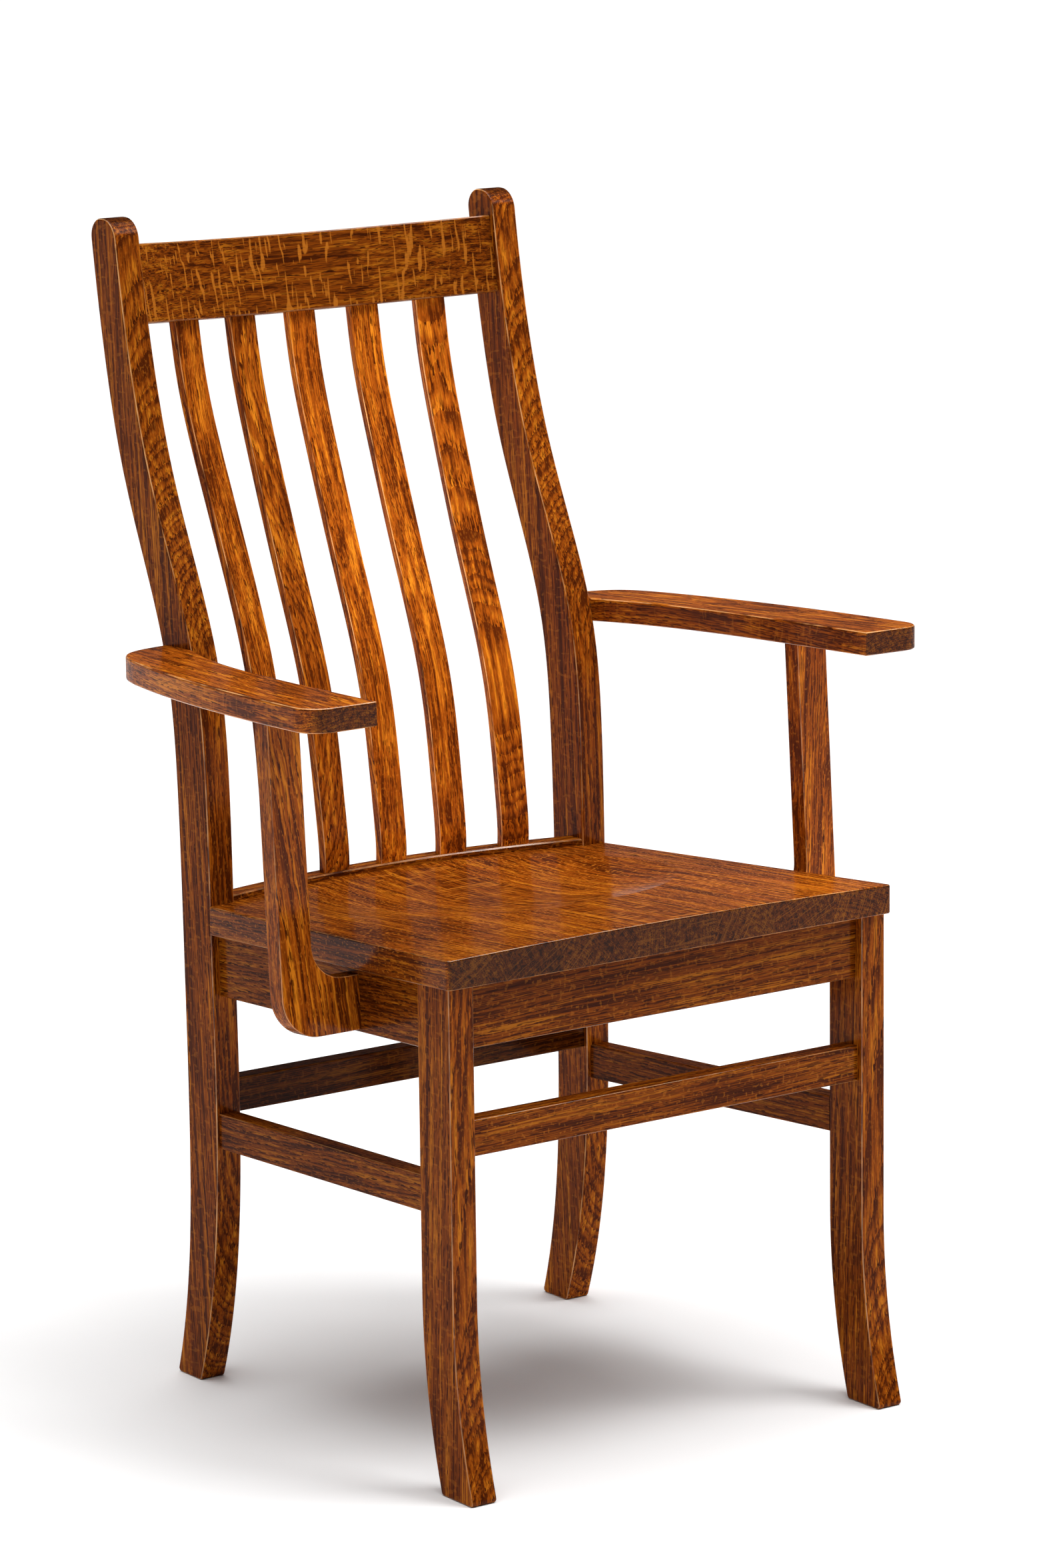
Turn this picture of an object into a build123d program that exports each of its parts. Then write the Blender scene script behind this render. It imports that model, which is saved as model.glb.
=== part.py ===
from build123d import *
import os
from math import atan, atan2, cos, degrees, pi, radians, sin, sqrt, tan

os.makedirs("parts", exist_ok=True)

# ------------------------------------------------------------------ driving dimensions (mm)
# X runs across the chair, Y from the sitter's knees to the back, Z up from the floor.
# "back(d)" is the Y of a plane d behind the straight faces of the front legs.
front_face = -269.0
overall_height = 1016.0

stock = 25.4                # thickness across the chair of the boards that legs and posts are cut from
rail_stock = 19.0           # thickness of rails, aprons, stretchers and arm supports
leg_outside = 228.0         # half width over the front legs
post_outside = 212.8        # half width over the rear posts
leg_depth = 45.0            # front-to-back depth of a front leg
toe_reach = 24.6            # how far the front foot flares forward
toe_height = 170.0          # height at which the flare starts

arris = 2.0                 # eased edges on legs, posts and arms
light_arris = 1.5           # eased edges on rails and slats
rail_chamfer = 1.2          # on the long edges of the bent rails
foot_round = 3.5            # rounding under the feet

seat_height = 457.2         # top of the seat at its front corners
seat_front = -5.2           # overhang of the seat in front of the legs
seat_half_front = 231.5
seat_half_rear = 213.0
seat_thickness = 25.0
seat_fall = 0.063           # drop of the seat per mm towards the back
seat_crown = 3.2            # the front edge stands this much higher in its middle
dish_depth = 7.0            # lowest point of the scoop under the seat plane
dish_centre = 262.0
dish_radius_across = 1783.0
dish_radius_along = 1031.0
dish_margin = 5.0           # how far above the seat plane the scoop's cutter reaches
stave_seams = (-116.0, -40.0, 41.0, 104.0, 168.0)

apron_drop = 55.0           # height of the aprons under the seat
apron_setback = 8.6         # front apron behind the faces of the front legs
apron_x_front = 221.5       # outer face of a side apron at the leg
apron_x_rear = 204.8        # outer face of a side apron at the post

front_stretcher = (6.0, 287.0, 318.0)       # setback, bottom, top
rear_stretcher = (379.5, 247.0, 277.5)
side_stretcher_x = (221.0, 209.7)           # outer face at the leg and at the post
side_stretcher_top = (266.0, 249.0)         # top at the leg and at the post
side_stretcher_height = 31.5
stretcher_stock = 18.0

rear_rail_setback = 1.5     # rear rail behind the faces of the rear posts
rear_rail_top = 440.0
rear_rail_height = 70.0
rear_rail_bow = 24.0
crest_setback = 6.5
crest_bottom = 926.0        # height of the crest rail's lower front edge at the posts
crest_height = 69.0
crest_bow = 31.0
crest_lean = 10.3           # degrees from upright

slat_width = (28.0, 29.0)   # at the rear rail and at the crest rail
slat_thickness = 9.5
slat_spacing = (62.3, 64.6)
slat_sway = (6.0, 0.0, 0.0, 0.0, -1.5)       # each slat's sideways set at half height
slat_count = len(slat_sway)

arm_thickness = 21.0
arm_height = 666.0          # top of the arm carried forward to the leg faces
arm_fall = 0.0267
arm_front = 56.0            # front and rear ends of an arm, behind the leg faces
arm_back = 441.0
support_inside = 261.0
support_outside = 293.0
support_foot = (371.0, 418.0)               # underside and top of the foot that reaches the apron
support_mid = (153.0, 530.0)                # distance behind the legs of its front face, at this height
support_outer_round = 36.0
support_inner_round = 29.0

# Outlines of the right arm, as (X, distance behind the leg faces).
arm_outer_line = [(318.5, 82), (316.0, 135), (309.5, 218), (298.5, 300), (281.0, 384)]
arm_inner_line = [(post_outside, 396), (235.0, 314), (246.0, 225), (251.0, 140), (254.0, 57)]
post_dowel_length = (17.0, 26.0)            # into the post and into the arm
support_dowel_length = (22.0, 13.0)         # into the support and into the arm

tenon_length = 14.0
tenon_shoulder = 4.0
block_leg = 64.0            # corner blocks, measured along the aprons
block_stock = 22.0
block_height = 34.0
block_screw_length = 20.0
seat_screw_length = 46.0
support_screw_length = 43.0
support_screw_heights = (383.0, 406.0)
screw_sink = 7.0            # how far a block screw's head stands off the apron
dowel = 9.0
screw_head = 8.4
screw_shank = 4.2
screw_drive = 2.6

# Front faces of the rear posts, as (distance behind the leg faces, height), and their depth.
post_line = [
    (412.0, 0), (383.5, 120), (376.3, 220), (378.0, 380), (381.0, 530),
    (394.7, 640), (425.5, 720), (460.0, 800), (484.0, 880), (508.5, overall_height),
]
post_depth = [37.5, 42.5, 45.4, 45.6, 46.8, 47.2, 46.0, 44.0, 41.5, 39.5]
post_round_front = 20.0
post_round_rear = 16.0

# Front face of the middle slat, as (distance behind the leg faces, height).
slat_line = [(409.5, 426), (412.0, 500), (421.0, 560), (436.5, 620), (461.5, 685), (489.0, 755),
             (513.0, 820), (531.0, 880), (543.6, 940)]


# ------------------------------------------------------------------ derived values
def back(distance):
    """Y of a plane that lies this far behind the straight faces of the front legs."""
    return front_face + distance


def between(ends, fraction):
    """Value between a pair, by fraction."""
    return ends[0] + (ends[1] - ends[0]) * fraction


seat_angle = atan(seat_fall)
seat_top = Plane(
    origin=(0, back(0), seat_height + seat_fall * seat_front),
    x_dir=(1, 0, 0), z_dir=(0, sin(seat_angle), cos(seat_angle)),
)
seat_underside = seat_top.offset(-seat_thickness)
apron_underside = seat_underside.offset(-apron_drop)
leg_inside = leg_outside - stock
post_inside = post_outside - stock
post_face_at_seat = 379.0
side_run = post_face_at_seat - leg_depth
arm_angle = atan(arm_fall)
arm_top = Plane(
    origin=(0, back(0), arm_height), x_dir=(1, 0, 0), z_dir=(0, sin(arm_angle), cos(arm_angle))
)
arm_underside = arm_top.offset(-arm_thickness)
crest_angle = radians(crest_lean)


def finish(piece, name):
    """Label a finished piece and write it."""
    piece.part.label = name
    export_step(piece.part, f"parts/{name}.step")


def mirrored(piece):
    """The same piece on the other side of the chair."""
    with BuildPart() as twin:
        mirror(piece.part, about=Plane.YZ)
    return twin


def long_edges(piece, least):
    """Edges of a piece that are longer than this."""
    return piece.edges().filter_by(lambda edge: edge.length > least)


# ------------------------------------------------------------------ rails across the chair
def straight_rail(half_span, setback, thickness, bottom, top):
    """A straight board between two inner faces, with a shouldered tenon on each end."""
    middle = (back(setback) + thickness / 2, (bottom + top) / 2)
    with BuildPart() as rail:
        with BuildSketch(Plane.YZ.offset(-half_span)):
            with Locations(middle):
                Rectangle(thickness, top - bottom)
        extrude(amount=2 * half_span)
        fillet(rail.edges().filter_by(Axis.X), light_arris)
        with BuildSketch(Plane.YZ.offset(-half_span - tenon_length)):
            with Locations(middle):
                Rectangle(thickness - 2 * tenon_shoulder, top - bottom - 2 * tenon_shoulder)
        extrude(amount=2 * (half_span + tenon_length))
    return rail


def curved_rail(base, half_span, bow, thickness, height):
    """A bent board that is hollow towards the sitter, with a tenon on each end.

    The base plane holds its lower edge: X across, Y to the back, and the line between the
    ends of the hollow face on local Y = 0.
    """
    radius = (half_span**2 + bow**2) / (2 * bow)
    rear_end = bow - radius + sqrt((radius + thickness) ** 2 - half_span**2)
    with BuildPart() as rail:
        with BuildSketch(base):
            with BuildLine():
                ThreePointArc((-half_span, 0), (0, bow), (half_span, 0))
                Line((half_span, 0), (half_span, rear_end))
                ThreePointArc((half_span, rear_end), (0, bow + thickness), (-half_span, rear_end))
                Line((-half_span, rear_end), (-half_span, 0))
            make_face()
        extrude(amount=height)
        chamfer(long_edges(rail, half_span), rail_chamfer)
        for side in (-1, 1):
            with BuildSketch(base.offset(tenon_shoulder)):
                with Locations((side * (half_span + tenon_length / 4), rear_end / 2)):
                    Rectangle(1.5 * tenon_length, thickness - 2 * tenon_shoulder)
            extrude(amount=height - 2 * tenon_shoulder)
    return rail


front_stretcher_rail = straight_rail(leg_inside, front_stretcher[0], rail_stock, *front_stretcher[1:])
rear_stretcher_rail = straight_rail(post_inside, rear_stretcher[0], stretcher_stock, *rear_stretcher[1:])

with BuildPart() as front_apron:
    apron_middle = back(apron_setback) + rail_stock / 2
    apron_low = seat_height - seat_thickness - apron_drop
    with BuildSketch(Plane.YZ.offset(-leg_inside)):
        with Locations((apron_middle, apron_low)):
            Rectangle(rail_stock, 2 * apron_drop, align=(Align.CENTER, Align.MIN))
    extrude(amount=2 * leg_inside)
    fillet(front_apron.edges().filter_by(Axis.X).group_by(Axis.Z)[0], light_arris)
    split(bisect_by=seat_underside, keep=Keep.BOTTOM)
    with BuildSketch(Plane.YZ.offset(-leg_inside - tenon_length)):
        with Locations((apron_middle, apron_low + apron_drop / 2)):
            Rectangle(rail_stock - 2 * tenon_shoulder, apron_drop - 3 * tenon_shoulder)
    extrude(amount=2 * (leg_inside + tenon_length))

rear_rail_base = Plane(
    origin=(0, back(post_face_at_seat + rear_rail_setback), rear_rail_top - rear_rail_height),
    x_dir=(1, 0, 0), z_dir=(0, 0, 1),
)
rear_rail = curved_rail(rear_rail_base, post_inside, rear_rail_bow, rail_stock, rear_rail_height)

crest_face = 493.2 + crest_setback          # front of the crest's lower edge, at the posts
crest_base = Plane(
    origin=(0, back(crest_face), crest_bottom),
    x_dir=(1, 0, 0), z_dir=(0, sin(crest_angle), cos(crest_angle)),
)
crest_rail = curved_rail(crest_base, post_inside, crest_bow, rail_stock, crest_height)


# ------------------------------------------------------------------ side aprons and side stretchers
def side_board(ends, thickness, upper, lower, tenon_upper, tenon_lower):
    """A board from a front leg to a rear post, on the right side.

    Args:
        ends: outer face at the leg and at the post.
        upper, lower: planes that cut its top and its underside.
        tenon_upper, tenon_lower: planes that cut its tenons.
    """
    slope = (ends[1] - ends[0]) / side_run

    def outline(overrun, inset):
        """Plan outline, drawn on by overrun at both ends and thinned by inset."""
        near, far = -overrun, side_run + overrun
        corners = [
            (ends[0] + slope * near - inset, back(leg_depth + near)),
            (ends[0] + slope * far - inset, back(leg_depth + far)),
            (ends[0] + slope * far - thickness + inset, back(leg_depth + far)),
            (ends[0] + slope * near - thickness + inset, back(leg_depth + near)),
        ]
        with BuildSketch() as plan:
            with BuildLine():
                Polyline(*corners, close=True)
            make_face()
        return plan.sketch

    with BuildPart() as tenons:
        extrude(outline(tenon_length, tenon_shoulder), amount=seat_height)
        split(bisect_by=tenon_upper, keep=Keep.BOTTOM)
        split(bisect_by=tenon_lower, keep=Keep.TOP)
    with BuildPart() as board:
        extrude(outline(0, 0), amount=seat_height)
        split(bisect_by=upper, keep=Keep.BOTTOM)
        split(bisect_by=lower, keep=Keep.TOP)
        fillet(long_edges(board, side_run * 0.9), light_arris)
        add(tenons.part)
    return board


side_apron = side_board(
    (apron_x_front, apron_x_rear), rail_stock, seat_underside, apron_underside,
    seat_underside.offset(-2 * tenon_shoulder), apron_underside.offset(tenon_shoulder),
)
with side_apron:
    add(rear_rail.part, mode=Mode.SUBTRACT)
stretcher_angle = atan((side_stretcher_top[0] - side_stretcher_top[1]) / side_run)
side_stretcher_upper = Plane(
    origin=(0, back(leg_depth), side_stretcher_top[0]),
    x_dir=(1, 0, 0), z_dir=(0, sin(stretcher_angle), cos(stretcher_angle)),
)
side_stretcher = side_board(
    side_stretcher_x, stretcher_stock,
    side_stretcher_upper, side_stretcher_upper.offset(-side_stretcher_height),
    side_stretcher_upper.offset(-tenon_shoulder),
    side_stretcher_upper.offset(tenon_shoulder - side_stretcher_height),
)

# ------------------------------------------------------------------ back slats
slats = []
for number, sway in enumerate(slat_sway):
    offset = number - (slat_count - 1) / 2
    with BuildPart() as slat:
        for distance, height in slat_line:
            rise = (height - rear_rail_top) / (crest_bottom - rear_rail_top)
            bow = between((rear_rail_bow, crest_bow), rise)
            centre = offset * between(slat_spacing, rise) + sway * sin(pi * rise) ** 3
            turn = atan2(-2 * bow * centre, post_inside**2)
            face = distance - bow * (centre / post_inside) ** 2
            with BuildSketch(Plane(
                origin=(centre, back(face), height), x_dir=(cos(turn), sin(turn), 0), z_dir=(0, 0, 1),
            )):
                with Locations((0, slat_thickness / 2)):
                    Rectangle(between(slat_width, rise), slat_thickness)
        loft()
    slats.append(slat)

for rail in (rear_rail, crest_rail):
    with rail:
        for slat in slats:
            add(slat.part, mode=Mode.SUBTRACT)
for slat in slats:
    with slat:
        fillet(long_edges(slat, 400), light_arris)

# ------------------------------------------------------------------ arms and arm supports
with BuildPart() as arm:
    with BuildSketch(Plane.XY.offset(arm_height - 3 * arm_thickness)):
        with BuildLine():
            Spline(*[(x, back(distance)) for x, distance in arm_inner_line])
            Line((254.0, back(57)), (298.0, back(arm_front)))
            Spline((298.0, back(arm_front)), (313.0, back(63)), (318.5, back(82)),
                   tangents=((1, 0), (0, 1)))
            Spline(*[(x, back(distance)) for x, distance in arm_outer_line])
            Spline((281.0, back(384)), (262.0, back(424)), (post_outside, back(arm_back)),
                   tangents=((-0.28, 0.96), (-1, 0.12)))
            Line((post_outside, back(arm_back)), (post_outside, back(396)))
        make_face()
    extrude(amount=4 * arm_thickness)
    split(bisect_by=arm_top, keep=Keep.BOTTOM)
    split(bisect_by=arm_underside, keep=Keep.TOP)

support_plane = Plane(
    origin=(0, back(support_mid[0] - support_mid[1] * tan(seat_angle)), 0),
    x_dir=(1, 0, 0), z_dir=(0, -cos(seat_angle), sin(seat_angle)),
)
with BuildPart() as arm_support:
    with BuildSketch(support_plane):
        with BuildLine():
            FilletPolyline(
                (apron_x_rear, support_foot[0]), (support_outside, support_foot[0]),
                (support_outside, arm_height), radius=support_outer_round,
            )
            FilletPolyline(
                (support_inside, arm_height), (support_inside, support_foot[1]),
                (apron_x_rear, support_foot[1]), radius=support_inner_round,
            )
            Line((support_outside, arm_height), (support_inside, arm_height))
            Line((apron_x_rear, support_foot[1]), (apron_x_rear, support_foot[0]))
        make_face()
    extrude(amount=-rail_stock)
    fillet(arm_support.faces().filter_by(support_plane).edges(), light_arris)
    split(bisect_by=arm_underside, keep=Keep.BOTTOM)
    add(side_apron.part, mode=Mode.SUBTRACT)

# ------------------------------------------------------------------ dowels of the right arm
arm_middle = arm_height - arm_thickness / 2 - arm_fall * 415
with BuildPart() as arm_post_dowels:
    with BuildSketch(Plane.YZ.offset(post_outside - post_dowel_length[0])):
        with Locations((back(409), arm_middle), (back(430), arm_middle)):
            Circle(dowel / 2)
    extrude(amount=sum(post_dowel_length))
with BuildPart() as arm_support_dowels:
    support_centre = back(support_mid[0] + seat_fall * (arm_height - support_mid[1])) + rail_stock / 2
    with BuildSketch(arm_underside.offset(-support_dowel_length[0])):
        with Locations(*[(x, (support_centre - back(0)) / cos(arm_angle)) for x in (269.0, 285.0)]):
            Circle(dowel / 2)
    extrude(amount=sum(support_dowel_length))
with arm:
    rim = arm.faces().sort_by(Axis.Z)[-1].edges() + arm.faces().sort_by(Axis.Z)[0].edges()
    fillet(rim.filter_by(lambda edge: edge.center().X > post_outside + 1), arris)
for wood in (arm, arm_support):
    with wood:
        add(arm_post_dowels.part, mode=Mode.SUBTRACT)
        add(arm_support_dowels.part, mode=Mode.SUBTRACT)

# ------------------------------------------------------------------ front legs and rear posts
with BuildPart() as front_leg:
    with BuildSketch(Plane.YZ.offset(leg_inside)):
        toe_radius = (toe_reach**2 + toe_height**2) / (2 * toe_reach)
        toe_turn = degrees(atan2(toe_height, toe_radius - toe_reach))
        with BuildLine():
            for depth in (0, leg_depth):
                Line((back(depth), seat_height), (back(depth), toe_height))
                ThreePointArc(
                    (back(depth), toe_height),
                    (back(depth - toe_radius * (1 - cos(radians(toe_turn / 2)))),
                     toe_height - toe_radius * sin(radians(toe_turn / 2))),
                    (back(depth - toe_reach), 0),
                )
            Line((back(0), seat_height), (back(leg_depth), seat_height))
            Line((back(-toe_reach), 0), (back(leg_depth - toe_reach), 0))
        make_face()
    extrude(amount=stock)
    fillet(front_leg.edges().filter_by(Axis.X).group_by(Axis.Z)[0], foot_round)
    fillet(front_leg.faces().filter_by(Axis.X).edges(), arris)
    split(bisect_by=seat_underside, keep=Keep.BOTTOM)
    for wood in (front_apron, front_stretcher_rail, side_apron, side_stretcher):
        add(wood.part, mode=Mode.SUBTRACT)

with BuildPart() as rear_post:
    with BuildSketch(Plane.YZ.offset(post_inside)) as post_side:
        front_line = [(back(distance), height) for distance, height in post_line]
        rear_line = [(y + depth, height) for (y, height), depth in zip(front_line, post_depth)]
        with BuildLine():
            Spline(*front_line)
            Line(front_line[-1], rear_line[-1])
            Spline(*rear_line)
            Line(rear_line[0], front_line[0])
        make_face()
        top_corners = post_side.vertices().group_by(Axis.Y)[-1].sort_by(Axis.X)
        fillet(top_corners[0], post_round_front)
        top_corners = post_side.vertices().group_by(Axis.Y)[-1].sort_by(Axis.X)
        fillet(top_corners[-1], post_round_rear)
    extrude(amount=stock)
    fillet(rear_post.edges().filter_by(Axis.X).group_by(Axis.Z)[0], foot_round)
    fillet(rear_post.faces().filter_by(Axis.X).edges(), arris)
    for wood in (rear_rail, crest_rail, rear_stretcher_rail, side_apron, side_stretcher, arm_post_dowels):
        add(wood.part, mode=Mode.SUBTRACT)

# ------------------------------------------------------------------ seat blank and its staves
rear_post_left = mirrored(rear_post)
crown_radius = seat_half_front**2 / (2 * seat_crown)
seat_long = post_face_at_seat + rear_rail_bow - seat_front
with BuildPart() as seat_blank:
    with BuildSketch(Plane.XY.offset(seat_height - 3 * seat_thickness)):
        rail_face = back(post_face_at_seat + rear_rail_setback)
        with BuildLine():
            Polyline(
                (-post_inside, rail_face), (-post_inside, back(post_face_at_seat)),
                (-seat_half_rear, back(post_face_at_seat)), (-seat_half_front, back(seat_front)),
                (seat_half_front, back(seat_front)), (seat_half_rear, back(post_face_at_seat)),
                (post_inside, back(post_face_at_seat)), (post_inside, rail_face),
            )
            ThreePointArc((post_inside, rail_face), (0, rail_face + rear_rail_bow), (-post_inside, rail_face))
        make_face()
    extrude(amount=4 * seat_thickness)
    split(bisect_by=seat_underside, keep=Keep.TOP)
    # The top is very slightly barrelled, so that the front edge swells in the middle.
    with BuildSketch(Plane(origin=seat_top.origin, x_dir=(1, 0, 0), z_dir=-seat_top.y_dir)):
        with BuildLine():
            ThreePointArc((-seat_half_front, 0), (0, seat_crown), (seat_half_front, 0))
            Polyline(
                (seat_half_front, 0), (seat_half_front, 4 * seat_thickness),
                (-seat_half_front, 4 * seat_thickness), (-seat_half_front, 0),
            )
        make_face()
    extrude(amount=seat_long, both=True, mode=Mode.SUBTRACT)
    outer_corners = seat_blank.edges().filter_by(Axis.Z).group_by(Axis.Y)[0]
    fillet(outer_corners, 2 * arris)
    outside = seat_blank.edges().filter_by(
        lambda edge: abs(edge.center().X) > seat_half_rear or edge.center().Y < back(0)
    )
    fillet(outside.filter_by(lambda edge: abs(edge.tangent_at(0.5).Z) < 0.5), light_arris)
    # Scoop: a shallow barrel turned about an axis high above the seat.
    scoop_half = sqrt(2 * dish_radius_across * (dish_depth + dish_margin))
    scoop_plane = Plane(
        origin=seat_top.from_local_coords((0, dish_centre, 0)), x_dir=(1, 0, 0), z_dir=-seat_top.y_dir
    )
    with BuildSketch(scoop_plane):
        with BuildLine():
            ThreePointArc((-scoop_half, dish_margin), (0, -dish_depth), (scoop_half, dish_margin))
            Line((scoop_half, dish_margin), (-scoop_half, dish_margin))
        make_face()
    scoop_axis = Axis(seat_top.from_local_coords((0, dish_centre, dish_radius_along - dish_depth)), (1, 0, 0))
    revolve(axis=scoop_axis, mode=Mode.SUBTRACT)
    for wood in (rear_post, rear_post_left):
        add(wood.part, mode=Mode.SUBTRACT)


# ------------------------------------------------------------------ corner blocks and screws
apron_slope = (apron_x_rear - apron_x_front) / side_run


def apron_inside(distance):
    """X of the inner face of the right side apron."""
    return apron_x_front + apron_slope * (distance - leg_depth) - rail_stock


on_base = (Align.CENTER, Align.CENTER, Align.MIN)


def corner_block(corners):
    """Glue block under the seat, cut from the plan corners given as (x, distance)."""
    with BuildPart() as block:
        with BuildSketch(Plane.XY.offset(seat_height - 4 * block_height)):
            with BuildLine():
                Polyline(*[(x, back(distance)) for x, distance in corners], close=True)
            make_face()
        extrude(amount=5 * block_height)
        split(bisect_by=seat_underside, keep=Keep.BOTTOM)
        split(bisect_by=seat_underside.offset(-block_height), keep=Keep.TOP)
    return block


def drive_screws(heads, direction, length):
    """Countersunk wood screws with their flat heads at the given points."""
    for head in heads:
        with Locations(Plane(origin=head, z_dir=direction).location):
            Cone(screw_head / 2, screw_shank / 2, screw_head / 4, align=on_base)
            Cylinder(screw_shank / 2, length, align=on_base)


def cut_drives(heads, direction):
    """Square recesses in the heads, for the driver."""
    for head in heads:
        with Locations(Plane(origin=head, z_dir=direction).location):
            Box(screw_drive, screw_drive, screw_head / 4, align=on_base, mode=Mode.SUBTRACT)


def below_seat(x, distance, drop):
    """Point under the seat, this far below its underside."""
    return (x, back(distance), seat_underside.origin.Z - seat_fall * distance - drop)


block_face = block_stock * sqrt(2)          # length of a block's glued ends
apron_rear = apron_setback + rail_stock
front_near, front_far = apron_rear + block_leg - block_face, apron_rear + block_leg
front_block = corner_block([
    (leg_inside - block_leg, apron_rear), (leg_inside - block_leg + block_face, apron_rear),
    (apron_inside(front_near), front_near), (apron_inside(front_far), front_far),
])
rear_near, rear_far = post_face_at_seat - block_leg, post_face_at_seat - block_leg + block_face
rear_deep = post_face_at_seat + rear_rail_bow
rear_block = corner_block([
    (apron_inside(rear_near), rear_near), (apron_inside(rear_far), rear_far),
    (apron_inside(rear_far) - (rear_deep - rear_far), rear_deep),
    (apron_inside(rear_near) - (rear_deep - rear_near), rear_deep),
])
with rear_block:
    add(rear_rail.part, mode=Mode.SUBTRACT)

block_reach = block_leg - block_face / 2    # middle of a block's glued end, from the inner corner
front_hole_x = leg_inside - block_reach
side_hole = block_height / 2
front_middle = (leg_inside - block_reach / 2, apron_rear + block_reach / 2)
rear_middle = (apron_inside(rear_far) - block_leg / 4, rear_near + block_leg / 2)

seat_heads = [below_seat(*front_middle, block_height), below_seat(*rear_middle, block_height)]
with BuildPart() as right_seat_screws:
    drive_screws(seat_heads, seat_top.z_dir, seat_screw_length)
across_heads = [
    below_seat(apron_inside(apron_rear + block_reach) - screw_sink, apron_rear + block_reach, side_hole),
    below_seat(apron_inside(post_face_at_seat - block_reach) - screw_sink, post_face_at_seat - block_reach,
               side_hole),
]
forward_heads = [below_seat(front_hole_x, apron_rear + screw_sink, side_hole)]
with BuildPart() as right_block_screws:
    drive_screws(across_heads, (1, 0, 0), block_screw_length)
    drive_screws(forward_heads, (0, -1, 0), block_screw_length)
with BuildPart() as screw_wells:
    for heads, towards in ((across_heads, (-1, 0, 0)), (forward_heads, (0, 1, 0))):
        for head in heads:
            with Locations(Plane(origin=head, z_dir=towards).location):
                Cylinder(screw_head / 2, block_leg / 2, align=on_base)
support_hole = support_mid[0] - seat_fall * (support_mid[1] - sum(support_foot) / 2) + rail_stock / 2
support_heads = [(apron_inside(support_hole), back(support_hole), height) for height in support_screw_heights]
with BuildPart() as right_support_screws:
    drive_screws(support_heads, (1, 0, 0), support_screw_length)

for wood in (front_block, rear_block):
    with wood:
        add(screw_wells.part, mode=Mode.SUBTRACT)
        add(right_seat_screws.part, mode=Mode.SUBTRACT)
        add(right_block_screws.part, mode=Mode.SUBTRACT)
for wood, screws in (
    (side_apron, right_block_screws), (side_apron, right_support_screws), (arm_support, right_support_screws),
):
    with wood:
        add(screws.part, mode=Mode.SUBTRACT)
for screws, heads, direction in (
    (right_seat_screws, seat_heads, seat_top.z_dir), (right_block_screws, across_heads, (1, 0, 0)),
    (right_block_screws, forward_heads, (0, -1, 0)), (right_support_screws, support_heads, (1, 0, 0)),
):
    with screws:
        cut_drives(heads, direction)


def both_sides(piece):
    """The pieces of the right side together with their twins on the left."""
    with BuildPart() as pair:
        add(piece.part)
        mirror(piece.part, about=Plane.YZ)
    return pair


seat_screws = both_sides(right_seat_screws)
block_screws = both_sides(right_block_screws)
support_screws = both_sides(right_support_screws)
with seat_blank:
    add(seat_screws.part, mode=Mode.SUBTRACT)
with front_apron:
    add(block_screws.part, mode=Mode.SUBTRACT)

# ------------------------------------------------------------------ write every piece
for number, edges in enumerate(zip((-seat_half_front, *stave_seams), (*stave_seams, seat_half_front)), 1):
    with BuildPart() as stave:
        add(seat_blank.part)
        if number > 1:
            split(bisect_by=Plane.YZ.offset(edges[0]), keep=Keep.TOP)
        if number <= len(stave_seams):
            split(bisect_by=Plane.YZ.offset(edges[1]), keep=Keep.BOTTOM)
    finish(stave, f"seat_stave_{number}")

for number, slat in enumerate(slats, 1):
    finish(slat, f"back_slat_{number}")

for piece, name in (
    (front_leg, "front_leg"), (rear_post, "rear_post"), (arm, "arm"), (arm_support, "arm_support"),
    (side_apron, "side_apron"), (side_stretcher, "side_stretcher"),
    (front_block, "front_corner_block"), (rear_block, "rear_corner_block"),
):
    finish(piece, f"{name}_right")
    finish(mirrored(piece), f"{name}_left")

for piece, name in (
    (crest_rail, "crest_rail"), (rear_rail, "rear_rail"), (front_apron, "front_apron"),
    (front_stretcher_rail, "front_stretcher"), (rear_stretcher_rail, "rear_stretcher"),
    (both_sides(arm_post_dowels), "arm_post_dowels"), (both_sides(arm_support_dowels), "arm_support_dowels"),
    (seat_screws, "seat_screws"), (block_screws, "block_screws"), (support_screws, "support_screws"),
):
    finish(piece, name)
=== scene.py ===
"""Finishes for a slat-back wooden armchair of stained oak.

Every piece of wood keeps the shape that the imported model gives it. Each one is dressed as its own board:
a solid oak texture with year rings, pores and medullary rays runs through the piece along its own grain,
so faces, arrises and end grain show what a saw would have laid bare there.
"""

import logging
from dataclasses import dataclass, replace
from enum import Enum
from math import cos, radians, sin

import bmesh
import bpy
from mathutils import Matrix, Vector

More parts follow.
